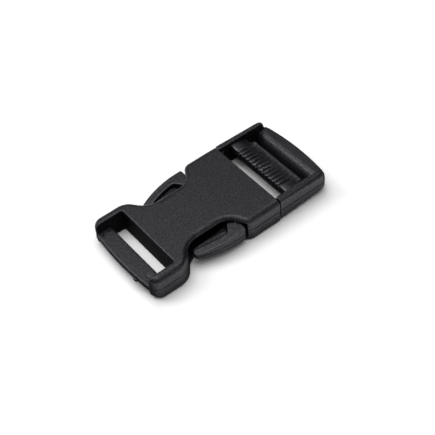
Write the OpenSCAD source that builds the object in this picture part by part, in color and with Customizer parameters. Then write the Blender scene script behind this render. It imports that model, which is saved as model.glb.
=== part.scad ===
// Side release buckle for flat webbing.
// The origin lies on the resting plane, on the centreline, at the mouth of the socket.
// +X runs from the socket towards the plug's end bar, +Z is up, left is +Y.

/* [Webbing] */
// Nominal width of the webbing
webbing_w = 25; // [24.5:0.5:25.5]
// Extra slot width beyond the webbing
slot_clearance = 1; // [0.8:0.1:1.2]

/* [Overall] */
// Width of each side rail beside a strap slot
rail_w = 2.85; // [2.6:0.05:3]
// Thickness of the socket and of the plug rails
buckle_t = 8.5; // [8.3:0.1:9]
// Thickness of the socket's upper and lower walls
wall_t = 1.2; // [1.1:0.05:1.3]
// Free space between the plug and the inside of the socket
running_gap = 0.2; // [0.15:0.05:0.25]

/* [Socket] */
// Length from the mouth to the strap slot
socket_body_l = 37; // [36.8:0.1:37.5]
// Length of the closed band around the mouth
band_l = 12; // [11.8:0.1:12.2]
// Thickness of the band's side walls
band_wall_t = 1.6; // [1.5:0.05:1.7]
// Width of the waist between the release arms
waist_w = 19.4; // [19:0.1:19.6]
// Length from the mouth to the foot of the slope out of the waist
waist_start = 15.6; // [15.4:0.1:15.8]
// Length from the mouth to the foot of the slope into the loop
waist_end = 29.6; // [29.4:0.1:29.8]
// Length from the mouth to the top of the slope into the loop
loop_start = 34.3; // [34.2:0.1:34.6]
// Length from the mouth to the closed end of the arm cavity
cavity_l = 31; // [30.9:0.1:31.2]
// Clear length of the socket's strap slot
loop_slot_l = 4.5; // [4.3:0.1:4.6]
// Length of the strap bar at its middle
loop_bar_l = 5.9; // [5.7:0.1:6.1]
// Thickness of the strap bar
loop_bar_t = 2; // [1.8:0.1:2.4]
// Depth of the strap bar's top face below the rail tops
loop_bar_drop = 3.8; // [3.6:0.1:4]
// How far the socket's end bows outward
loop_end_bow = 0.8; // [0.7:0.1:0.9]
// Plan radius of the loop's outer corners
loop_corner_r = 3.2; // [3:0.1:3.4]
// Distance from the centreline to the inner face of a guide rib
rib_y = 2.6; // [2.55:0.05:2.7]
// Thickness of a guide rib
rib_t = 0.9; // [0.8:0.05:1]

/* [Plug] */
// Gap between the socket's mouth and the plug's shoulders
shoulder_gap = 0.45; // [0.3:0.05:0.45]
// Length from the mouth to the plug's outer end
plug_l = 20.8; // [20.7:0.1:21]
// How far the plug's end bows outward
plug_end_bow = 1; // [0.8:0.1:1.1]
// Plan radius of the plug's outer corners
plug_corner_r = 3.6; // [3.4:0.1:3.8]
// How far the plug is narrower than the socket on each side
plug_inset = 0.2; // [0.1:0.05:0.25]
// Thickness of each plug side rail
plug_rail_w = 2.25; // [2.1:0.05:2.4]
// Distance past the mouth at which the rail tops start to drop
rail_top_end = 18; // [17.8:0.1:18.1]
// Length of the corner webs that stiffen the front bar
web_l = 2.4; // [2:0.1:2.6]
// Distance past the mouth of the front bar's rear face
front_bar_rear = 0.6; // [0.5:0.05:0.6]
// Length of the front bar
front_bar_l = 2.2; // [2.1:0.1:2.3]
// Start of the ladder bar past the mouth
ladder_x = 4.8; // [4.7:0.1:4.9]
// Length of the ladder bar
ladder_l = 7.8; // [7.6:0.1:7.9]
// Gap between the ladder bar's rear plate and each side rail
ladder_notch = 2.3; // [2:0.1:2.5]
// Length of the outer strap slot at its top
outer_slot_l = 4.3; // [4.2:0.1:4.5]
// Height of the end bar's top face
end_bar_top = 5.7; // [5.5:0.1:5.9]
// Height of the end bar's underside
end_bar_z = 0.8; // [0.7:0.1:1]
// How far the end bar's inner face leans towards the ladder bar at its foot
end_bar_lean = 2.6; // [2.4:0.1:2.7]
// Length of the central guide tongue from the front bar
guide_l = 22.4; // [22:0.1:22.8]
// Width of the central guide tongue
guide_w = 4.4; // [4.2:0.1:4.6]

/* [Ladder teeth] */
// Number of teeth across the ladder bar
tooth_count = 12; // [10:1:12]
// Distance between neighbouring teeth
tooth_pitch = 1.55; // [1.5:0.01:1.6]
// Thickness of one tooth
tooth_t = 0.75; // [0.7:0.05:1]
// Height of a tooth above the bar
tooth_h = 0.5; // [0.4:0.05:0.6]

/* [Release arms] */
// Play between an arm's latch face and the band
latch_play = 1.1; // [0.9:0.1:1.2]
// Distance from the centreline to the outermost point of an arm
arm_reach = 15.9; // [15.8:0.1:16]
// Radius of the arm's outer thumb curve in plan
arm_curve_r = 34; // [32:1:36]
// Length from the latch face to the arm's nose
arm_l = 16.6; // [16.4:0.1:16.8]
// Length of an arm's latch head along the buckle
head_l = 4.8; // [4.6:0.1:5]
// How much shorter the latch head is at its inner edge
head_slant = 2.4; // [2.2:0.1:2.6]
// Depth of the latch head across the buckle
head_depth = 6.4; // [6.2:0.1:6.6]
// Width of the thumb rim across the buckle
rim_w = 2.6; // [2.4:0.1:2.8]
// Thickness of the web behind an arm's rim
web_t = 1; // [0.8:0.1:1.2]
// Thickness of an arm at its nose
nose_t = 1.6; // [1.4:0.1:1.8]
// Thickness of a spring beam at its root
beam_root_t = 1.8; // [1.7:0.1:1.9]
// Thickness of a spring beam at its tip
beam_tip_t = 1.5; // [1.4:0.1:1.6]
// Distance from the centreline to a spring beam's middle at the root
beam_root_y = 9.3; // [9.1:0.1:9.5]

/* [Hidden] */
$fn = 48;
// Straight steps in one rounded corner and in one bowed edge
corner_steps = 8;
bow_steps = 16;
// Overshoot of a cutting shape past the face it opens
over = 1;
plastic = "#1d1e21";
slot_w = webbing_w + slot_clearance;
half_slot = slot_w / 2;
half_w = half_slot + rail_w;
plug_y = half_w - plug_inset;
plug_half_slot = plug_y - plug_rail_w;
mid_z = buckle_t / 2;
cavity_t = buckle_t - 2 * wall_t;
band_y = half_w - band_wall_t;
loop_bar_x = -socket_body_l - loop_slot_l;
socket_end_x = loop_bar_x - loop_bar_l;
loop_bar_top = buckle_t - loop_bar_drop;
insert_z = wall_t + running_gap;
insert_t = cavity_t - 2 * running_gap;
front_bar_x = front_bar_rear - front_bar_l;
ladder_z = 3.8;
ladder_top = 6.65;
ladder_plate_top = 5.8;
end_bar_x = ladder_x + ladder_l + outer_slot_l;
head_x = -band_l - latch_play;
nose_x = head_x - arm_l;
head_y = arm_reach - head_depth;
beam_tip_y = head_y + beam_tip_t / 2 + 0.6;
// Where the thumb curve reaches furthest out
curve_x = head_x - 3.4;

function unit(v) = v / norm(v);

// Arc that rounds the corner b between a and c to radius r
function corner(a, b, c, r) =
    r == 0 ? [b] :
    let (u = unit(a - b), v = unit(c - b))
    let (half = acos(u * v) / 2)
    let (start = b + u * r / tan(half), centre = b + unit(u + v) * r / sin(half))
    let (from = atan2(start.y - centre.y, start.x - centre.x))
    let (turn = (u.x * v.y - u.y * v.x > 0 ? -1 : 1) * (180 - 2 * half))
    [for (i = [0 : corner_steps])
        centre + r * [cos(from + turn * i / corner_steps), sin(from + turn * i / corner_steps)]];

// Closed outline from points [x, y, corner radius]
function rounded(p) =
    [for (i = [0 : len(p) - 1])
        each corner([p[(i + len(p) - 1) % len(p)].x, p[(i + len(p) - 1) % len(p)].y],
                    [p[i].x, p[i].y],
                    [p[(i + 1) % len(p)].x, p[(i + 1) % len(p)].y],
                    p[i].z)];

// Points of an edge that bows by rise between y = -half_len and y = half_len, ends left out
function bow(x, half_len, rise) =
    [for (i = [1 : bow_steps - 1])
        let (y = half_len * (1 - 2 * i / bow_steps))
        [x + rise * (1 - pow(y / half_len, 2)), y, 0]];

// Half outline at y > 0 followed by its mirror image
function both_sides(p) =
    concat(p, [for (i = [len(p) - 1 : -1 : 0]) [p[i].x, -p[i].y, p[i].z]]);

module plate(outline, z, t) {
    translate([0, 0, z])
        linear_extrude(t)
            polygon(rounded(outline));
}

// Slab across the full width from a side view of points [x, z, corner radius]
module side_slab(side_view) {
    translate([0, half_w + over, 0])
        rotate([90, 0, 0])
            linear_extrude(2 * (half_w + over))
                polygon(rounded(side_view));
}

module block(x0, x1, half_y, z0, z1) {
    translate([x0, -half_y, z0])
        cube([x1 - x0, 2 * half_y, z1 - z0]);
}

// Slab of the socket's plan between the heights z and z + t
module socket_plan(z, t) {
    end_x = socket_end_x + loop_end_bow;
    left = [[0, half_w, 0.4], [-band_l, half_w, 1.6], [-waist_start, waist_w / 2, 1.8],
            [-waist_end, waist_w / 2, 1.8], [-loop_start, half_w, 2.4], [end_x, half_w, loop_corner_r]];
    right = [for (i = [len(left) - 1 : -1 : 0]) [left[i].x, -left[i].y, left[i].z]];
    plate(concat(left, bow(end_x, half_slot, -loop_end_bow), right), z, t);
}

// Full height of the socket with its rail ends rounded in side view
module socket_envelope() {
    intersection() {
        socket_plan(0, buckle_t);
        side_slab([[0, 0, 0], [0, buckle_t, 0], [socket_end_x + 0.4, buckle_t, 1.6],
                   [socket_end_x, mid_z, 0], [socket_end_x + 0.6, 0, 3]]);
    }
}

module socket_body() {
    color(plastic) {
        difference() {
            socket_envelope();
            block(socket_end_x - over, -socket_body_l, half_slot, -over, buckle_t + over);
            block(-cavity_l, over, band_y, wall_t, wall_t + cavity_t);
            block(-cavity_l, -band_l, half_w + over, wall_t, wall_t + cavity_t);
        }
        for (side = [-1, 1])
            translate([-cavity_l - over, side * (rib_y + rib_t / 2) - rib_t / 2, wall_t - over / 2])
                cube([cavity_l - band_l - 2, rib_t, cavity_t + over]);
    }
}

module socket_strap_bar() {
    color(plastic)
        intersection() {
            socket_plan(loop_bar_top - loop_bar_t, loop_bar_t);
            block(socket_end_x - over, loop_bar_x, half_slot, 0, buckle_t);
        }
}

// The plug behind its shoulders, cut to the rounded side view of its end
module plug_envelope() {
    end_x = plug_l - plug_end_bow;
    left = [[shoulder_gap, plug_y, 0], [end_x, plug_y, plug_corner_r]];
    right = [[end_x, -plug_y, plug_corner_r], [shoulder_gap, -plug_y, 0]];
    side_view = [[shoulder_gap, 0, 0], [shoulder_gap, buckle_t, 0], [rail_top_end, buckle_t, 1],
                 [rail_top_end + 0.8, end_bar_top, 0.5], [plug_l, end_bar_top, 0.5],
                 [plug_l, end_bar_z, 1.6], [end_bar_x - 1, 0, 3]];
    intersection() {
        plate(concat(left, bow(end_x, half_slot, plug_end_bow), right), 0, buckle_t);
        side_slab(side_view);
    }
}

module front_bar_web(side) {
    translate([front_bar_rear, side * plug_half_slot, insert_z + 0.3])
        linear_extrude(insert_t - 0.6)
            polygon([[0, 0], [web_l, 0], [0, -side * web_l]]);
}

module plug_frame() {
    color(plastic) {
        difference() {
            plug_envelope();
            block(0, plug_l + over, plug_half_slot, -over, buckle_t + over);
        }
        block(front_bar_x, shoulder_gap, band_y - running_gap, insert_z, insert_z + insert_t);
        block(shoulder_gap, front_bar_rear, plug_half_slot, insert_z, insert_z + insert_t - 0.3);
        for (side = [-1, 1])
            front_bar_web(side);
    }
}

// Side view of the ladder bar's front part, its top raised by lift and its underside at z
module ladder_section(lift, z) {
    bend_x = ladder_x + 3.3;
    step_x = ladder_x + 5.7;
    polygon(rounded([[ladder_x, z + 0.4, 0], [ladder_x, ladder_top - 0.1 + lift, 0.5],
                     [bend_x, ladder_top + lift, 1.4], [step_x, ladder_plate_top, 0],
                     [step_x, z, 0], [bend_x, z, 0]]));
}

// Slice of the ladder bar from y to y + t
module ladder_slice(y, t, lift, z) {
    translate([0, y + t, 0])
        rotate([90, 0, 0])
            linear_extrude(t)
                ladder_section(lift, z);
}

module ladder_bar() {
    row_end = tooth_count * tooth_pitch / 2;
    block_y = row_end + 0.3;
    tooth_z = ladder_plate_top - 0.6;
    color(plastic) {
        ladder_slice(-plug_half_slot, 2 * plug_half_slot, 0, ladder_z);
        for (i = [0 : tooth_count - 1])
            ladder_slice((i + 0.5) * tooth_pitch - row_end - tooth_t / 2, tooth_t, tooth_h, tooth_z);
        for (y = [-plug_half_slot, block_y])
            ladder_slice(y, plug_half_slot - block_y, tooth_h, tooth_z);
        block(ladder_x + 4.5, ladder_x + ladder_l, plug_half_slot - ladder_notch,
              ladder_z, ladder_plate_top);
    }
}

module plug_end_bar() {
    foot_x = end_bar_x - end_bar_lean;
    color(plastic)
        intersection() {
            plug_envelope();
            block(foot_x, plug_l + over, plug_half_slot, end_bar_z, end_bar_top);
            side_slab([[foot_x, end_bar_z, 0.4], [foot_x + 0.7, 4.6, 1], [end_bar_x, end_bar_top, 0.8],
                       [plug_l + over, end_bar_top, 0], [plug_l + over, end_bar_z, 0]]);
        }
}

module centre_guide() {
    tip_x = front_bar_x - guide_l;
    side = [[front_bar_x, guide_w / 2, 0], [tip_x + 3, guide_w / 2, 1], [tip_x, guide_w / 4, 0.8]];
    color(plastic)
        plate(both_sides(side), insert_z + 0.3, insert_t - 0.6);
}

module spring_beam(side) {
    root = beam_root_t / 2;
    tip = beam_tip_t / 2;
    outline = [[front_bar_x, beam_root_y - root, 0], [front_bar_x, beam_root_y + root, 0],
               [head_x, beam_tip_y + tip, 0], [head_x, beam_tip_y - tip, 0]];
    color(plastic)
        scale([1, side, 1])
            plate(outline, insert_z, insert_t);
}

// Points of the thumb curve at y > 0 between two lengths, moved inward by inset
function thumb_curve(from_x, to_x, inset) =
    [for (i = [0 : bow_steps])
        let (x = from_x + (to_x - from_x) * i / bow_steps)
        [x, arm_reach - arm_curve_r + sqrt(pow(arm_curve_r, 2) - pow(x - curve_x, 2)) - inset, 0]];

module arm_rim_and_head() {
    rim_end = nose_x + rim_w / 2;
    back_x = head_x - head_l;
    outer = thumb_curve(head_x - 0.8, rim_end, 0);
    inner = thumb_curve(rim_end, back_x, rim_w);
    head = [[back_x + head_slant, head_y, 0.8], [head_x, head_y, 0], [head_x, arm_reach - 0.8, 0]];
    nose = inner[0];
    plate(concat(outer, inner, head), insert_z, insert_t);
    translate([nose.x, nose.y + rim_w / 2, insert_z])
        cylinder(h = insert_t, r = rim_w / 2);
}

// Plate that closes the hollow between the rim and the latch head at mid height
module arm_web() {
    start_x = head_x - head_l + head_slant - 0.5;
    rim = thumb_curve(start_x, nose_x + rim_w / 2, rim_w / 2);
    plate(concat(rim, [[nose_x + 1.2, head_y + 0.8, 0.4], [start_x, head_y, 0]]),
          mid_z - web_t / 2, web_t);
}

module release_arm(side) {
    taper_x = curve_x + 0.5;
    top = insert_z + insert_t;
    color(plastic)
        scale([1, side, 1])
            intersection() {
                union() {
                    arm_rim_and_head();
                    arm_web();
                }
                side_slab([[head_x + over, insert_z, 0], [head_x + over, top, 0], [taper_x, top, 0],
                           [nose_x, mid_z + nose_t / 2, 0], [nose_x, mid_z - nose_t / 2, 0],
                           [taper_x, insert_z, 0]]);
            }
}

module left_spring_beam() { spring_beam(1); }
module right_spring_beam() { spring_beam(-1); }
module left_release_arm() { release_arm(1); }
module right_release_arm() { release_arm(-1); }

socket_body();
socket_strap_bar();
plug_frame();
ladder_bar();
plug_end_bar();
centre_guide();
left_spring_beam();
right_spring_beam();
left_release_arm();
right_release_arm();
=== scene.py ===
"""Looks of the side release buckle: moulded shapes, black plastic, studio light and camera."""
import math

import bmesh
import bpy
import numpy as np
import openvdb
from mathutils import Matrix, Vector


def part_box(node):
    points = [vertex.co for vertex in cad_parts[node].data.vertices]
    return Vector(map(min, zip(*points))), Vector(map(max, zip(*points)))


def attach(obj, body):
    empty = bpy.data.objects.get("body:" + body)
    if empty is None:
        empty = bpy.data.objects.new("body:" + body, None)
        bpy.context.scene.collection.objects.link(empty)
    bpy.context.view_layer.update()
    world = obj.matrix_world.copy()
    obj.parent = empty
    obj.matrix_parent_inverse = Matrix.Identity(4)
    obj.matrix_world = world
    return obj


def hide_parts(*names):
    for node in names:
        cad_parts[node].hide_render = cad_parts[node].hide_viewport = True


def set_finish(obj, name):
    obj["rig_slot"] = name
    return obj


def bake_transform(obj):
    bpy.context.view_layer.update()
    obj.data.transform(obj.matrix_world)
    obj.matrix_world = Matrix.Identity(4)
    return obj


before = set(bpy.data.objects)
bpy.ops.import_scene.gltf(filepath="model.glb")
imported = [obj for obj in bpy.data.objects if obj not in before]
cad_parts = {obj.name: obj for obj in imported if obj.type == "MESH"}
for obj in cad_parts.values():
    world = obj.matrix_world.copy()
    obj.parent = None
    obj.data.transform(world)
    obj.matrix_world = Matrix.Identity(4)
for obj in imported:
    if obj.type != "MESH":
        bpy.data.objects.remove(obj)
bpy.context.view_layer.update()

MM = 0.001
STEP = 0.17      # grid spacing of the large mouldings, mm
FINE_STEP = 0.1   # grid spacing of the small detailed ones, mm


# ---------------------------------------------------------------- sizes from the CAD nodes, mm
def span(node):
    low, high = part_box(node)
    return np.array(low) / MM, np.array(high) / MM


body_lo, body_hi = span("socket_body")
strap_lo, strap_hi = span("socket_strap_bar")
frame_lo, frame_hi = span("plug_frame")
ladder_lo, ladder_hi = span("ladder_bar")
end_lo, end_hi = span("plug_end_bar")
guide_lo, guide_hi = span("centre_guide")
beam_lo, beam_hi = span("left_spring_beam")
arm_lo, arm_hi = span("left_release_arm")

HALF_W = body_hi[1]
TOP = body_hi[2]
MID = TOP / 2
SLOT_Y = strap_hi[1]
PLUG_Y = frame_hi[1]
PLUG_SLOT_Y = ladder_hi[1]
HEAD_X = beam_lo[0]
FRONT_X = frame_lo[0]
INSERT_HALF_T = (beam_hi[2] - beam_lo[2]) / 2

# ---------------------------------------------------------------- field helpers, mm
# A field is negative inside the plastic. Its value is close to the distance from the surface.
SEAM_DEPTH, SEAM_HALF_W = 0.16, 0.15


def rmax(a, b, r):
    """Both a and b, with the outer edge between them rounded to radius r."""
    return np.minimum(np.maximum(a, b), -r) + np.hypot(np.maximum(a + r, 0), np.maximum(b + r, 0))


def rmin(a, b, r):
    """Either a or b, with the inner corner between them filled to radius r."""
    return -rmax(-a, -b, r)


def edge(u, v, p, q):
    """Distance from the line through p and q, positive on the left of the way from p to q."""
    du, dv = q[0] - p[0], q[1] - p[1]
    return (du * (v - p[1]) - dv * (u - p[0])) / math.hypot(du, dv)


def ramp(t, t0, t1):
    """0 at t0, 1 at t1, smooth in between."""
    s = np.clip((t - t0) / (t1 - t0), 0, 1)
    return s * s * (3 - 2 * s)


def seam(z):
    """The fine groove that the mould's parting plane leaves on the side faces."""
    return SEAM_DEPTH * np.exp(-((z - MID) / SEAM_HALF_W) ** 2)


# ---------------------------------------------------------------- socket, mm
BAND_L = 12.0                    # mouth band
BAND_WALL = 1.6
WAIST_Y = 9.7                    # half width of the waist
WAIST_START, WAIST_END = -15.6, -29.6
WAIST_R = 2.2                    # fillets at both ends of the waist
SHOULDER_R, SHOULDER_R_GROWTH = 1.6, 0.8
WAIST_BLEND = (-20, -28)         # where the growing radii grow
END_BLEND = (-43, -46.5)
LOOP_START = -34.3
LOOP_CORNER_R = 3.2
LOOP_BOW = 0.8
SLOT_X = -37.0                   # inner end of the strap slot
WALL_T = 1.2
CAVITY_L = 31.0
EDGE_R = 1.95                    # along the top edges
UNDER_R, UNDER_R_GROWTH = 0.8, 1.4
RIB_X, RIB_HALF_L = -23.5, 8.5
RIB_Y, RIB_HALF_T = 3.05, 0.45
EJECTOR_MARKS = ((-44.5, 11.0), (-44.0, -9.7))
MARK_R, MARK_DEPTH, MARK_SLOPE = 1.05, 0.06, 0.09
GATE_Y = -7.4                    # stub left by the mould's gate on the strap bar
GATE_SIZE = (0.62, 1.0, 0.55)
OVERLAP = 0.4                    # how far a bar reaches into the rail that holds it


def socket_end(ay):
    """X of the bowed end of the strap loop."""
    return strap_lo[0] + LOOP_BOW * np.minimum(ay / SLOT_Y, 1) ** 2


def socket_plan(x, ay):
    """Outline from above: mouth band, waist and strap loop."""
    slope_front = edge(x, ay, (WAIST_START, WAIST_Y), (-BAND_L, HALF_W))
    slope_rear = edge(x, ay, (LOOP_START, HALF_W), (WAIST_END, WAIST_Y))
    core = rmin(rmin(ay - WAIST_Y, slope_front, WAIST_R), slope_rear, WAIST_R)
    plan = rmax(ay - HALF_W, core, SHOULDER_R + SHOULDER_R_GROWTH * ramp(x, *WAIST_BLEND))
    return rmax(plan, socket_end(ay) - x, LOOP_CORNER_R)


def socket_cavity(x, ay, z):
    """Hollow for the plug, open at the mouth and at the sides of the waist."""
    sides = rmin(ay - (HALF_W - BAND_WALL), x + BAND_L, 0.35)
    return rmax(rmax(sides, -CAVITY_L - x, 0.6), np.abs(z - MID) - (MID - WALL_T), 0.45)


def guide_ribs(x, ay, z):
    plan = rmax(np.abs(ay - RIB_Y) - RIB_HALF_T, np.abs(x - RIB_X) - RIB_HALF_L, 0.4)
    return rmax(plan, np.abs(z - MID) - (MID - WALL_T / 2), 0.1)


def strap_bar(x, y, z):
    """Thin bar across the loop, with two shallow ejector marks on top and the gate's stub outside."""
    ay = np.abs(y)
    middle = (strap_lo[2] + strap_hi[2]) / 2
    plan = rmax(socket_end(ay) - x, x - strap_hi[0], 0.5)
    plan = np.maximum(plan, ay - SLOT_Y - OVERLAP)
    bar = rmax(plan, np.abs(z - middle) - (strap_hi[2] - middle), 0.55)
    for mark_x, mark_y in EJECTOR_MARKS:
        floor_z = strap_hi[2] - MARK_DEPTH + MARK_SLOPE * (x - mark_x)
        mark = np.maximum(np.hypot(x - mark_x, y - mark_y) - MARK_R, floor_z - z)
        bar = rmax(bar, -mark, 0.05)
    along_x, along_y, along_z = GATE_SIZE
    gate = np.sqrt(((x - strap_lo[0] - 0.25) / along_x) ** 2 + ((y - GATE_Y) / along_y) ** 2
                   + ((z - middle + 0.2) / along_z) ** 2) - 1
    return bar, gate * along_z


def socket(x, y, z):
    ay = np.abs(y)
    plan = socket_plan(x, ay) + seam(z)
    shell = rmax(plan, z - TOP, EDGE_R)
    shell = rmax(shell, -z, UNDER_R + UNDER_R_GROWTH * ramp(x, *END_BLEND))
    shell = rmax(shell, x, 0.18)
    slot = rmax(x - SLOT_X, ay - SLOT_Y, 0.7)
    shell = rmax(shell, -slot, 0.35)
    shell = rmax(shell, -socket_cavity(x, ay, z), 0.22)
    shell = rmin(shell, guide_ribs(x, ay, z), 0.3)
    bar, gate = strap_bar(x, y, z)
    return rmin(rmin(shell, bar, 0.45), gate, 0.15)


# ---------------------------------------------------------------- ladder bar, mm
TOOTH_PITCH = 1.55
TOOTH_COUNT = 12
TOOTH_T = 0.75
TOOTH_H = 0.5
TOOTHED_HALF = TOOTH_COUNT * TOOTH_PITCH / 2
WEAR_Y, WEAR_HALF_W, WEAR_DEPTH = -0.6, 2.4, 0.22
LEVEL_L = 3.3                    # from the front: level top, end of the slope, end of the raised part
SLOPE_L = 5.7
RAISED_L = 6.3
PLATE_TOP = 5.8
CHAMFER_L, CHAMFER_H = 3.2, 0.35
LADDER_NOTCH = 2.3
NOTCH_L = 6.1


def ladder_section(x, z, lift):
    """Side view of the ladder bar: an upright front, a level top, a slope and a low plate behind."""
    front, low = ladder_lo[0], ladder_lo[2]
    top = ladder_hi[2] - TOOTH_H + lift
    bend, step = (front + LEVEL_L, top), (front + SLOPE_L, PLATE_TOP)
    level = rmax(edge(x, z, (front, top - 0.1), bend), edge(x, z, bend, step), 1.2)
    raised = np.maximum(rmax(level, front - x, 0.45), x - front - RAISED_L)
    upper = rmin(raised, rmax(z - PLATE_TOP, front - x, 0.4), 0.5)
    chamfer = edge(x, z, (front + CHAMFER_L, low), (front, low + CHAMFER_H))
    under = rmax(chamfer, low - z, 0.6)
    return rmax(rmax(upper, under, 0.35), x - ladder_hi[0], 0.4)


def wear(x, y):
    """How far the teeth in the middle of the bar are worn down, 0 to 1, in uneven patches."""
    patches = 0.55 + 0.45 * np.sin(6.1 * x + 2.3 * y) * np.sin(3.7 * y - 1.9 * x)
    return np.exp(-((y - WEAR_Y) / WEAR_HALF_W) ** 2) * patches


def ladder(x, y, z):
    """Ladder bar with worn teeth, plain end blocks and a plate that is notched at both ends."""
    ay = np.abs(y)
    phase = y / TOOTH_PITCH + (TOOTH_COUNT % 2) / 2
    from_tooth = np.abs((phase - np.floor(phase) - 0.5) * TOOTH_PITCH)
    flank = from_tooth - TOOTH_T / 2 + 0.22 * (z - ladder_hi[2] + 0.3)
    raised = ladder_section(x, z, TOOTH_H)
    tooth = rmax(raised + WEAR_DEPTH * wear(x, y), flank, 0.14)
    tooth = np.maximum(tooth, ay - TOOTHED_HALF)
    block = rmax(raised, TOOTHED_HALF + 0.3 - ay, 0.3)
    whole = rmin(rmin(ladder_section(x, z, 0.0), tooth, 0.12), block, 0.2)
    notch = rmax(ladder_lo[0] + NOTCH_L - x, PLUG_SLOT_Y - LADDER_NOTCH - ay, 0.4)
    return rmax(whole, -notch, 0.3)


# ---------------------------------------------------------------- arms, mm
ARM_REACH = arm_hi[1]
ARM_R = 34.0                     # outer curve of the arm
ARM_CENTRE_Y = ARM_REACH - ARM_R
CURVE_X = HEAD_X - 3.4           # where the arm reaches farthest out
RIM_W = 2.6
HEAD_L = 4.8
HEAD_SLANT = 2.4
HEAD_DEPTH = 6.4
HEAD_Y = ARM_REACH - HEAD_DEPTH
HEAD_BACK_X = HEAD_X - HEAD_L
WEB_HALF_T = 0.5
NOSE_HALF_T = 0.8
BEAM_ROOT_Y = 9.3
BEAM_ROOT_HALF_T, BEAM_TIP_HALF_T = 0.9, 0.75


def arm_plan(x, ay):
    """Plans of a release arm: rim with latch head, outer curve, and the web between them."""
    radius = np.hypot(x - CURVE_X, ay - ARM_CENTRE_Y)
    outer = radius - ARM_R
    rim_r = ARM_R - RIM_W / 2
    nose_x = arm_lo[0] + RIM_W / 2
    nose_y = ARM_CENTRE_Y + math.sqrt(rim_r ** 2 - (nose_x - CURVE_X) ** 2)
    rim = np.where(x > nose_x, np.abs(radius - rim_r), np.hypot(x - nose_x, ay - nose_y)) - RIM_W / 2
    rim = np.maximum(rim, x - HEAD_X + 0.6)
    inner_corner = (HEAD_BACK_X + HEAD_SLANT, HEAD_Y)
    back = edge(x, ay, (HEAD_BACK_X, HEAD_Y + 3.7), inner_corner)
    head = rmax(-back, HEAD_Y - ay, 0.7)
    head = rmax(rmax(head, x - HEAD_X, 0.25), outer, 0.7)
    inner_edge = edge(x, ay, (arm_lo[0] + 1, HEAD_Y + 0.8), inner_corner)
    web = rmax(rmax(-inner_edge, outer + 1, 0.3), nose_x - 0.8 - x, 1.2)
    return rmin(rim, head, 0.8), outer, web


def arm(x, y, z):
    """Release arm, thinner toward its nose, with a slightly uneven web."""
    plan, outer, web = arm_plan(x, np.abs(y))
    taper = edge(x, np.abs(z - MID), (arm_lo[0], NOSE_HALF_T), (CURVE_X + 0.5, INSERT_HALF_T))
    height = rmax(np.abs(z - MID) - INSERT_HALF_T, taper, 2.0)
    shape = rmax(plan + seam(z), height, 0.3)
    shape = np.maximum(shape, rmax(outer + seam(z), height, 0.28))
    ripple = 0.05 * np.sin(2.1 * x + 1.3 * y) * np.sin(1.7 * x - 2.9 * y)
    web = rmax(np.maximum(web, x - HEAD_X + 1), np.abs(z - MID) - WEB_HALF_T + ripple, 0.3)
    return rmin(shape, web, 0.35)


def beam(x, ay, z):
    """Spring beam from the plug's front bar to the latch head, thinner toward the head."""
    share = np.clip((FRONT_X - x) / (FRONT_X - HEAD_X), -0.1, 1.1)
    centre = BEAM_ROOT_Y + (beam_hi[1] - BEAM_TIP_HALF_T - BEAM_ROOT_Y) * share
    half = BEAM_ROOT_HALF_T - (BEAM_ROOT_HALF_T - BEAM_TIP_HALF_T) * share
    slab = rmax(np.abs(ay - centre) - half, np.abs(z - MID) - INSERT_HALF_T, 0.3)
    return np.maximum(slab, np.maximum(x - FRONT_X - 0.6, HEAD_X - 0.8 - x))


# ---------------------------------------------------------------- plug, mm
SHOULDER_X = 0.45
RAIL_TOP_END = 18.0
RAIL_DROP = 2.8                  # slope of the drop from the rail tops to the end bar
LEDGE_H, LEDGE_W = 0.16, 0.85    # step along the rail tops
PLUG_CORNER_R = 3.4
END_BOW = 1.0
END_LEAN = 2.6
END_BEND_L, END_BEND_Z = 0.7, 4.6
BAR_REAR = 0.6
WEB_R = 2.5
GUIDE_TAPER_L, GUIDE_TAPER_W = 3.2, 1.0


def plug_outline(x, ay, z):
    """Plan of the plug's outer part, and its rounded underside."""
    bowed = end_hi[0] - END_BOW * np.minimum(ay / SLOT_Y, 1) ** 2
    plan = rmax(ay - PLUG_Y, x - bowed, PLUG_CORNER_R) + seam(z)
    under = rmax(-z, edge(x, z, (end_hi[0], end_lo[2]), (end_lo[0] - 1, 0)), 3.0)
    return plan, under


def plug_rails(x, ay, z):
    """The side rails: a fine step along their tops, which drop to the height of the end bar."""
    plan, under = plug_outline(x, ay, z)
    drop = ((x - RAIL_TOP_END) * RAIL_DROP + (z - TOP)) / math.hypot(RAIL_DROP, 1)
    upper = rmin(rmax(z - TOP, drop, 0.5), z - end_hi[2], 0.5)
    along = np.clip(x / RAIL_TOP_END, 0, 1)
    ledge_w = LEDGE_W * (1 + along)
    inside = rmax(plan + ledge_w, upper, 0.12)
    shell = rmin(inside, rmax(plan, upper + LEDGE_H, ledge_w), 0.06)
    shell = rmax(shell, under, 1.0 + 0.8 * along)
    shell = rmax(shell, SHOULDER_X - x, 0.2)
    return rmax(shell, PLUG_SLOT_Y - ay, 0.3)


def end_bar(x, ay, z):
    """The bar at the plug's bowed end. Its inner face is steep below a bend and leans above it."""
    plan, under = plug_outline(x, ay, z)
    bar = rmax(rmax(plan, z - end_hi[2], 0.45), under, 1.5)
    bend = (end_lo[0] + END_BEND_L, END_BEND_Z)
    steep = edge(x, z, (end_lo[0], end_lo[2]), bend)
    leaning = edge(x, z, bend, (end_lo[0] + END_LEAN, end_hi[2]))
    inner = rmax(rmax(rmax(steep, leaning, 1.3), z - end_hi[2], 0.4), end_lo[2] - z, 0.5)
    return np.maximum(np.maximum(bar, inner), ay - PLUG_SLOT_Y - OVERLAP)


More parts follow.
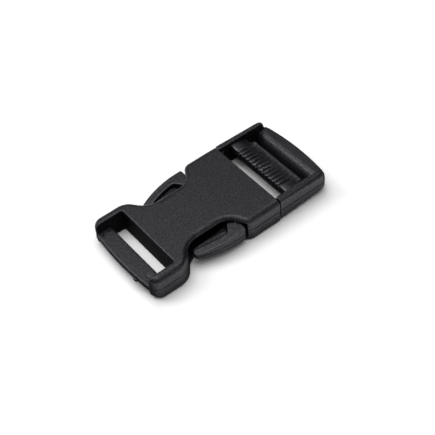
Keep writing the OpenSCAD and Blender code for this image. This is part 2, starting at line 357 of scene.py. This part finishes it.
def front_bar(x, ay, z):
    """The bar behind the socket's mouth, its roots on the rails and its rounded corner webs."""
    height = np.abs(z - MID) - INSERT_HALF_T
    neck_y = HALF_W - BAND_WALL - 0.2
    along = np.abs(x - (FRONT_X + BAR_REAR) / 2) - (BAR_REAR - FRONT_X) / 2
    bar = rmax(rmax(along, ay - neck_y, 0.4), height, 0.4)
    root = rmax(np.abs(x - 0.2) - 0.9, np.abs(ay - (neck_y + PLUG_SLOT_Y) / 2 + 0.1) - 0.4, 0.1)
    root = rmax(root, height + 0.1, 0.2)
    from_x, from_y = x - BAR_REAR - WEB_R, PLUG_SLOT_Y - WEB_R - ay
    web = np.maximum(WEB_R - np.hypot(from_x, from_y), np.maximum(from_x, from_y))
    web = np.maximum(web, np.maximum(FRONT_X + 0.5 - x, ay - PLUG_SLOT_Y - 0.3))
    return bar, root, rmax(web, height + 0.3, 0.3)


def centre_guide(x, ay, z):
    """Tongue that runs between the socket's ribs, narrower at its end."""
    narrower = GUIDE_TAPER_W * ramp(x, guide_lo[0] + GUIDE_TAPER_L, guide_lo[0])
    plan = rmax(ay - guide_hi[1] + narrower, guide_lo[0] - x, 0.9)
    guide = rmax(plan, np.abs(z - MID) - (guide_hi[2] - MID), 0.4)
    return np.maximum(guide, x - FRONT_X - 0.5)


def plug(x, y, z):
    ay = np.abs(y)
    whole = rmin(plug_rails(x, ay, z), end_bar(x, ay, z), 0.5)
    bar, root, web = front_bar(x, ay, z)
    whole = rmin(rmin(rmin(whole, bar, 0.25), root, 0.25), web, 0.2)
    rungs = np.maximum(ladder(x, y, z), ay - PLUG_SLOT_Y - 0.3)
    whole = rmin(whole, rungs, 0.35)
    whole = rmin(whole, centre_guide(x, ay, z), 0.8)
    return rmin(whole, rmin(beam(x, ay, z), arm(x, y, z), 0.7), 1.0)


# ---------------------------------------------------------------- from field to mesh
FLATNESS = 0.012                 # 0 keeps every grid face, 1 merges the most
PULLS = 3                        # steps from the grid's surface to the exact one
PULL_EPS, NORMAL_EPS = 0.02, 0.045
EDGE_REACH = 0.3                 # distance over which the bend of the surface is measured, mm


def gradient(field, p, eps):
    """Unit direction in which the field grows at the points p, and its growth per mm."""
    n = np.empty_like(p)
    for k in range(3):
        shift = np.zeros(3)
        shift[k] = eps
        a, b = (p + shift).T, (p - shift).T
        n[:, k] = field(*a) - field(*b)
    size = np.maximum(np.linalg.norm(n, axis=1, keepdims=True), 1e-9)
    return n / size, size / (2 * eps)


def surface(field, low, high, step):
    """Points and faces of the surface inside the box low..high, pulled onto the exact surface."""
    axes = [np.arange(a, b + step, step) for a, b in zip(low, high)]
    values = field(axes[0][:, None, None], axes[1][None, :, None], axes[2][None, None, :])
    band = 3 * step
    values = np.clip(values, -band, band).astype(np.float32)
    grid = openvdb.FloatGrid(band)
    grid.copyFromArray(np.ascontiguousarray(values))
    points, tris, quads = grid.convertToPolygons(0.0, FLATNESS)
    points = points * step + np.array([a[0] for a in axes])
    for _ in range(PULLS):
        away, growth = gradient(field, points, PULL_EPS)
        off = field(*points.T)[:, None] / np.clip(growth, 0.4, 2)
        points = points - np.clip(off, -step, step) * away * 0.9
    return points, [f[::-1].tolist() for f in tris] + [f[::-1].tolist() for f in quads]


def close_cut(bm, point, normal):
    """Fills the open edges that lie on a cutting plane and marks the new faces as a cut."""
    mark = bm.faces.layers.int["cut"]
    origin, axis = Vector(point), Vector(normal)
    rim = [e for e in bm.edges if e.is_boundary
           and all(abs((v.co - origin).dot(axis)) < 1e-4 for v in e.verts)]
    if not rim:
        return
    made = bmesh.ops.triangle_fill(bm, edges=rim, use_beauty=True, normal=axis)
    for f in made["geom"]:
        if isinstance(f, bmesh.types.BMFace):
            f[mark] = 1


def piece(node, slot, field, low, high, step, cuts, keep):
    """The visible piece for a CAD node. cuts are (point, normal) planes, keep picks face centres."""
    name = node + "_skin"
    margin = 4 * step
    points, faces = surface(field, np.array(low) - margin, np.array(high) + margin, step)
    mesh = bpy.data.meshes.new(name)
    mesh.from_pydata(points.tolist(), [], faces)
    bm = bmesh.new()
    bm.from_mesh(mesh)
    bm.faces.layers.int.new("cut")
    for point, normal in cuts:
        geom = bm.verts[:] + bm.edges[:] + bm.faces[:]
        bmesh.ops.bisect_plane(bm, geom=geom, dist=1e-5, plane_co=point, plane_no=normal)
    away = [f for f in bm.faces if not keep(f.calc_center_median())]
    bmesh.ops.delete(bm, geom=away, context="FACES")
    for point, normal in cuts:
        close_cut(bm, point, normal)
    bmesh.ops.recalc_face_normals(bm, faces=bm.faces[:])
    open_edges = sum(1 for e in bm.edges if not e.is_manifold)
    bm.to_mesh(mesh)
    bm.free()
    shade(mesh, field)
    obj = bpy.data.objects.new(name, mesh)
    bpy.context.scene.collection.objects.link(obj)
    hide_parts(node)
    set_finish(obj, slot)
    print("PIECE", name, "faces", len(mesh.polygons), "open edges", open_edges)
    return obj


def read(items, field, width, kind=np.float64):
    values = np.empty(len(items) * width, kind)
    items.foreach_get(field, values)
    return values.reshape(-1, width) if width > 1 else values


def shade(mesh, field):
    """Smooth normals from the field, flat ones on the cuts, and the edge attribute for the material."""
    co = read(mesh.vertices, "co", 3)
    smooth, _ = gradient(field, co, NORMAL_EPS)
    loops_per_face = read(mesh.polygons, "loop_total", 1, np.int32)
    face = np.repeat(np.arange(len(loops_per_face)), loops_per_face)
    vert = read(mesh.loops, "vertex_index", 1, np.int32)
    face_n = read(mesh.polygons, "normal", 3)[face]
    loop_n = smooth[vert]
    is_cut = read(mesh.attributes["cut"].data, "value", 1, np.int32)[face] == 1
    use_flat = is_cut | ((loop_n * face_n).sum(1) < 0.3)
    loop_n = np.where(use_flat[:, None], face_n, loop_n)
    bend = -6 * field(*co.T)
    for k in range(3):
        shift = np.zeros(3)
        shift[k] = EDGE_REACH
        bend += field(*(co + shift).T) + field(*(co - shift).T)
    attribute = mesh.attributes.new("edge", "FLOAT", "POINT")
    attribute.data.foreach_set("value", np.clip(bend / EDGE_REACH, -1, 1).astype(np.float32))
    mesh.attributes.remove(mesh.attributes["cut"])
    mesh.vertices.foreach_set("co", (co * MM).ravel())
    mesh.polygons.foreach_set("use_smooth", np.ones(len(mesh.polygons), bool))
    mesh.update()
    mesh.normals_split_custom_set(loop_n.tolist())


# ---------------------------------------------------------------- pieces
EX, EY = (1, 0, 0), (0, 1, 0)
CUT_INSET = 0.06                 # how far a cut lies inside the part that it trims
STRAP_CUT_Y = SLOT_Y - CUT_INSET
FRAME_CUT_Y = PLUG_SLOT_Y - CUT_INSET
ROOT_CUT_X = FRONT_X - CUT_INSET
TIP_CUT_X = HEAD_X + 0.08
OUTER_SLOT_X = (ladder_hi[0] + end_lo[0]) / 2
GUIDE_SIDE_Y = guide_hi[1] + 1.5  # between the centre guide and the spring beams


def across(x):
    return ((x, 0, 0), EX)


def along(y):
    return ((0, y, 0), EY)


def in_strap_bar(c):
    return c.x < strap_hi[0] + 1.5 and abs(c.y) < STRAP_CUT_Y


def in_rungs(c):
    return c.x > ladder_lo[0] - 1.5 and abs(c.y) < FRAME_CUT_Y


def socket_pieces():
    low, high = np.minimum(body_lo, strap_lo), np.maximum(body_hi, strap_hi)
    cuts = [along(STRAP_CUT_Y), along(-STRAP_CUT_Y)]
    body = piece("socket_body", "socket_plastic", socket, low, high, STEP, cuts,
                 lambda c: not in_strap_bar(c))
    bar = piece("socket_strap_bar", "socket_plastic", socket, strap_lo - 0.6, strap_hi + 0.6,
                FINE_STEP, cuts, in_strap_bar)
    return [body, bar]


def plug_pieces():
    cuts = [along(FRAME_CUT_Y), along(-FRAME_CUT_Y)]
    sides = piece("plug_frame", "plug_plastic", plug, frame_lo, (end_hi[0], frame_hi[1], TOP),
                  STEP, cuts + [across(ROOT_CUT_X)],
                  lambda c: c.x > ROOT_CUT_X and not in_rungs(c))
    toothed = piece("ladder_bar", "plug_plastic", plug, ladder_lo, ladder_hi + 0.6, FINE_STEP,
                    cuts, lambda c: in_rungs(c) and c.x < OUTER_SLOT_X)
    end = piece("plug_end_bar", "plug_plastic", plug, end_lo, end_hi, FINE_STEP * 1.5,
                cuts, lambda c: in_rungs(c) and c.x > OUTER_SLOT_X)
    guide = piece("centre_guide", "plug_plastic", plug, guide_lo, guide_hi, STEP,
                  [across(ROOT_CUT_X)], lambda c: c.x < ROOT_CUT_X and abs(c.y) < GUIDE_SIDE_Y)
    return [sides, toothed, end, guide]


def arm_pieces(side, sign):
    """The spring beam, blended from the plug to the arm, and the release arm of one side."""
    spread = np.array([[beam_lo[1] - 0.8, beam_hi[1] + 0.8], [arm_lo[1], arm_hi[1]]]) * sign
    spread.sort(axis=1)
    beam_box = [(TIP_CUT_X, spread[0][0], beam_lo[2]), (FRONT_X, spread[0][1], beam_hi[2])]
    leaf = piece(side + "_spring_beam", "arm_plastic", plug, *beam_box, FINE_STEP,
                 [across(ROOT_CUT_X), across(TIP_CUT_X)],
                 lambda c: TIP_CUT_X < c.x < ROOT_CUT_X and c.y * sign > GUIDE_SIDE_Y)
    arm_box = [(arm_lo[0], spread[1][0], arm_lo[2]), (HEAD_X, spread[1][1], arm_hi[2])]
    tab = piece(side + "_release_arm", "arm_plastic", plug, *arm_box, FINE_STEP * 1.2,
                [across(TIP_CUT_X)], lambda c: c.x < TIP_CUT_X and c.y * sign > GUIDE_SIDE_Y)
    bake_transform(leaf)
    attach(tab, side + "_arm")
    return [leaf, tab]


def build_pieces():
    """One piece for each CAD node, each meshed at the spacing its detail needs."""
    of_socket, of_plug = socket_pieces(), plug_pieces()
    for o in of_socket:
        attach(o, "socket")
    for o in of_plug:
        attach(o, "plug")
    return of_socket + of_plug + arm_pieces("left", 1) + arm_pieces("right", -1)


# ---------------------------------------------------------------- shader nodes
class Graph:
    """Short calls that add shader nodes to a material or a world."""

    def __init__(self, owner):
        owner.use_nodes = True
        self.nodes, self.links = owner.node_tree.nodes, owner.node_tree.links

    def add(self, kind):
        return self.nodes.new("ShaderNode" + kind)

    def feed(self, target, value):
        """Links an output to the input target, or sets the input to a constant."""
        if isinstance(value, bpy.types.NodeSocket):
            self.links.new(value, target)
        else:
            target.default_value = value

    def fit(self, value, a, b, c, d, smooth=False):
        """Maps a..b onto c..d."""
        node = self.add("MapRange")
        if smooth:
            node.interpolation_type = "SMOOTHSTEP"
        for target, v in zip(node.inputs, (value, a, b, c, d)):
            self.feed(target, v)
        return node.outputs[0]

    def math(self, kind, a, b=0.0):
        node = self.add("Math")
        node.operation = kind
        self.feed(node.inputs[0], a)
        self.feed(node.inputs[1], b)
        return node.outputs[0]

    def mix(self, a, b, factor):
        node = self.add("Mix")
        node.data_type = "RGBA"
        self.feed(node.inputs["A"], a)
        self.feed(node.inputs["B"], b)
        self.feed(node.inputs["Factor"], factor)
        return node.outputs["Result"]

    def noise(self, place, scale, detail, rough=0.6):
        node = self.add("TexNoise")
        self.feed(node.inputs["Vector"], place)
        for name, v in (("Scale", scale), ("Detail", detail), ("Roughness", rough)):
            self.feed(node.inputs[name], v)
        return node.outputs["Fac"]

    def camera_ray(self):
        return self.add("LightPath").outputs["Is Camera Ray"]


# ---------------------------------------------------------------- plastic
BLACK, WORN_BLACK = (0.0035, 0.0035, 0.0044, 1), (0.008, 0.008, 0.0098, 1)
CHALKY_WEAR_AND_HIGHLIGHT = (0.16, 0.16, 0.17, 1)
SHEEN = (0.92, 0.91, 1, 1)
FINE_GRAIN, SPARKLE, COARSE_GRAIN, STREAKS, BROAD = 5200, 2100, 1700, 900, 120  # noise per metre
GRAIN_HEIGHT = 0.00011


def wear_marks_and_edge_highlight(g, place, at_edge, fine, coarse, scuff, chipped):
    """How pale the plastic is: pale edges that are partly wear and partly a painted highlight, chipped
    edges and long faint scuffs.
    """
    stretched = g.add("Mapping")
    g.feed(stretched.inputs["Scale"], (0.12, 1, 1))
    g.feed(stretched.inputs["Vector"], place)
    scuffs = g.fit(g.noise(stretched.outputs[0], STREAKS, 2, 0.5), 0.66, 0.74, 0, scuff)
    # Every edge is paler: partly wear, partly a painted highlight along the edges.
    worn = g.math("MULTIPLY", at_edge, g.fit(coarse, 0.45, 0.7, 0.05, 0.22))
    chips = g.math("MULTIPLY", at_edge, g.fit(fine, 0.62, 0.68, 0, chipped))
    return g.math("ADD", g.math("ADD", worn, chips), scuffs)


def plastic(name, grain, edge_gloss, scuff, chipped, painted_crease_shade_level=0.05, shine=1.0):
    """Black moulded plastic: fine spark-eroded grain, smoother edges, painted shade in creases, edges
    paler from wear and a painted highlight, faint marks.
    """
    mat = bpy.data.materials.new(name)
    g = Graph(mat)
    shader = g.nodes["Principled BSDF"]
    place = g.add("TexCoord").outputs["Object"]
    bend = g.add("Attribute")
    bend.attribute_name = "edge"
    at_edge = g.fit(bend.outputs["Fac"], 0.1, 0.7, 0, 1)
    fine = g.noise(place, FINE_GRAIN, 3)
    coarse = g.noise(place, COARSE_GRAIN, 4)
    broad = g.noise(place, BROAD, 3)

    tone = g.math("ADD", g.fit(coarse, 0.3, 0.75, 0, 0.7), g.fit(broad, 0.35, 0.65, 0, 0.3))
    marks = wear_marks_and_edge_highlight(g, place, at_edge, fine, coarse, scuff, chipped)
    # Base colour: random dark tone, then pale wear marks together with a painted highlight along the
    # edges.
    g.feed(shader.inputs["Base Color"], g.mix(g.mix(BLACK, WORN_BLACK, tone), CHALKY_WEAR_AND_HIGHLIGHT, marks))

    rough = g.math("ADD", g.fit(fine, 0.3, 0.7, 0.3, 0.44), g.fit(broad, 0.3, 0.7, -0.04, 0.05))
    rough = g.math("SUBTRACT", rough, g.math("MULTIPLY", at_edge, edge_gloss))
    g.feed(shader.inputs["Roughness"], rough)
    g.feed(shader.inputs["IOR"], 1.5)
    g.feed(shader.inputs["Specular Tint"], SHEEN)
    sparkle = g.fit(g.noise(place, SPARKLE, 3), 0.35, 0.65, 0.28 * shine, 0.75 * shine)
    # Painted shade: the reflection is dimmed where the surface bends inward, in creases, hollows and
    # the seam groove.
    painted_crease_shade = g.fit(bend.outputs["Fac"], -0.7, -0.25, painted_crease_shade_level, 1)
    g.feed(shader.inputs["Specular IOR Level"], g.math("MULTIPLY", sparkle, painted_crease_shade))

    bump = g.add("Bump")
    g.feed(bump.inputs["Distance"], GRAIN_HEIGHT)
    g.feed(bump.inputs["Strength"], g.fit(at_edge, 0, 1, grain, grain * 0.5))
    height = g.math("ADD", g.math("MULTIPLY", fine, 0.6), g.math("MULTIPLY", coarse, 0.6))
    g.feed(bump.inputs["Height"], height)
    g.feed(shader.inputs["Normal"], bump.outputs["Normal"])
    return mat


def dress(pieces):
    mats = {"socket_plastic": plastic("socket_plastic", 0.9, 0.1, 0.06, 0.2),
            "plug_plastic": plastic("plug_plastic", 0.9, 0.14, 0.08, 0.4),
            "arm_plastic": plastic("arm_plastic", 0.7, 0.14, 0.1, 0.7, shine=0.85)}
    # The toothed copy keeps more reflection in its creases, with less painted crease shade, and
    # reflects more strongly.
    toothed = plastic("toothed_plastic", 0.9, 0.14, 0.2, 0.5, painted_crease_shade_level=0.6, shine=1.7)
    for o in pieces:
        o.data.materials.append(toothed if o.name == "ladder_bar_skin" else mats[o["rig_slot"]])


# ---------------------------------------------------------------- studio
FLOOR_HALF = 3.0
PAPER_SEEN = 1.3                 # brightness of the paper for the camera, overexposed
# Painted shade under the buckle and painted light beside it, seen only in the light thrown back onto
# the plastic.
PAINTED_SHADE_UNDER, PAINTED_LIGHT_BESIDE = 0.1, 1.45   # for the light thrown back, under and beside the buckle
UNDER_Y, BESIDE_Y = 0.015, 0.02
LAMP_DISTANCE = 0.7
LAMP_AIM = Vector((-0.013, 0, 0.004))


def direction(azimuth, elevation):
    """Unit vector toward an azimuth and an elevation in degrees."""
    a, e = math.radians(azimuth), math.radians(elevation)
    return Vector((math.cos(a) * math.cos(e), math.sin(a) * math.cos(e), math.sin(e)))


def paper_floor():
    """White paper for the camera. For the light it throws back onto the plastic it is painted dark
    under the buckle (painted shade) and brighter than white beside it (painted light), so what it
    throws back comes from beside the buckle.
    """
    mesh = bpy.data.meshes.new("floor")
    corners = [(-FLOOR_HALF, -FLOOR_HALF, 0), (FLOOR_HALF, -FLOOR_HALF, 0),
               (FLOOR_HALF, FLOOR_HALF, 0), (-FLOOR_HALF, FLOOR_HALF, 0)]
    mesh.from_pydata(corners, [], [(0, 1, 2, 3)])
    floor = bpy.data.objects.new("floor", mesh)
    bpy.context.scene.collection.objects.link(floor)
    paper = bpy.data.materials.new("floor_paper")
    g = Graph(paper)
    shader = g.nodes["Principled BSDF"]
    g.feed(shader.inputs["Roughness"], 0.9)
    apart = g.add("SeparateXYZ")
    g.feed(apart.inputs[0], g.add("TexCoord").outputs["Object"])
    aside = g.math("ABSOLUTE", apart.outputs["Y"])
    # Painted bounce: dark paper under the buckle (painted shade), brighter than white beside it
    # (painted light).
    painted_bounce = g.fit(aside, UNDER_Y, BESIDE_Y, PAINTED_SHADE_UNDER, PAINTED_LIGHT_BESIDE)
    g.feed(shader.inputs["Base Color"], g.fit(g.camera_ray(), 0, 1, painted_bounce, PAPER_SEEN))
    mesh.materials.append(paper)


def overhead_light():
    """A bright ceiling for the plastic; the camera sees plain white beyond the paper."""
    world = bpy.data.worlds.new("studio_world")
    g = Graph(world)
    apart = g.add("SeparateXYZ")
    g.feed(apart.inputs[0], g.add("TexCoord").outputs["Generated"])
    ceiling = g.fit(apart.outputs["Z"], 0.66, 1.0, 0.02, 1.5, smooth=True)
    background = g.nodes["Background"]
    g.feed(background.inputs["Color"], (1, 1, 1, 1))
    g.feed(background.inputs["Strength"], g.math("MAXIMUM", g.camera_ray(), ceiling))
    bpy.context.scene.world = world


def softbox(name, azimuth, elevation, size, power):
    data = bpy.data.lights.new(name, "AREA")
    data.shape = "RECTANGLE"
    data.size, data.size_y = size
    data.energy = power
    lamp = bpy.data.objects.new(name, data)
    lamp.location = LAMP_AIM + LAMP_DISTANCE * direction(azimuth, elevation)
    lamp.rotation_euler = (LAMP_AIM - lamp.location).to_track_quat("-Z", "Y").to_euler()
    bpy.context.scene.collection.objects.link(lamp)


def studio():
    paper_floor()
    overhead_light()
    softbox("key_softbox", 90, 70, (0.45, 0.45), 1.2)
    softbox("side_softbox", 280, 22, (0.3, 0.2), 0.3)
    softbox("end_softbox", 130, 45, (0.3, 0.3), 1.0)


AZIMUTH, ELEVATION, ROLL = 235.583, 48.471, -5.504   # degrees
TARGET = Vector((-0.015819, -0.005666, 0.005))
DISTANCE = 0.316389
LENS = 88.374


def set_camera():
    """Seen from the loop's end and the right side, from above, with a slight roll."""
    back = direction(AZIMUTH, ELEVATION)
    right = Vector((0, 0, 1)).cross(back).normalized()
    up = back.cross(right)
    roll = math.radians(ROLL)
    rolled_right = math.cos(roll) * right + math.sin(roll) * up
    rolled_up = -math.sin(roll) * right + math.cos(roll) * up
    turn = Matrix((rolled_right, rolled_up, back)).transposed()
    data = bpy.data.cameras.new("camera")
    data.lens, data.sensor_width = LENS, 36
    data.clip_start, data.clip_end = 0.01, 20
    camera = bpy.data.objects.new("camera", data)
    camera.matrix_world = Matrix.Translation(TARGET + back * DISTANCE) @ turn.to_4x4()
    bpy.context.scene.collection.objects.link(camera)
    bpy.context.scene.camera = camera


dress(build_pieces())
studio()
set_camera()
bpy.context.scene.view_settings.view_transform = "Standard"
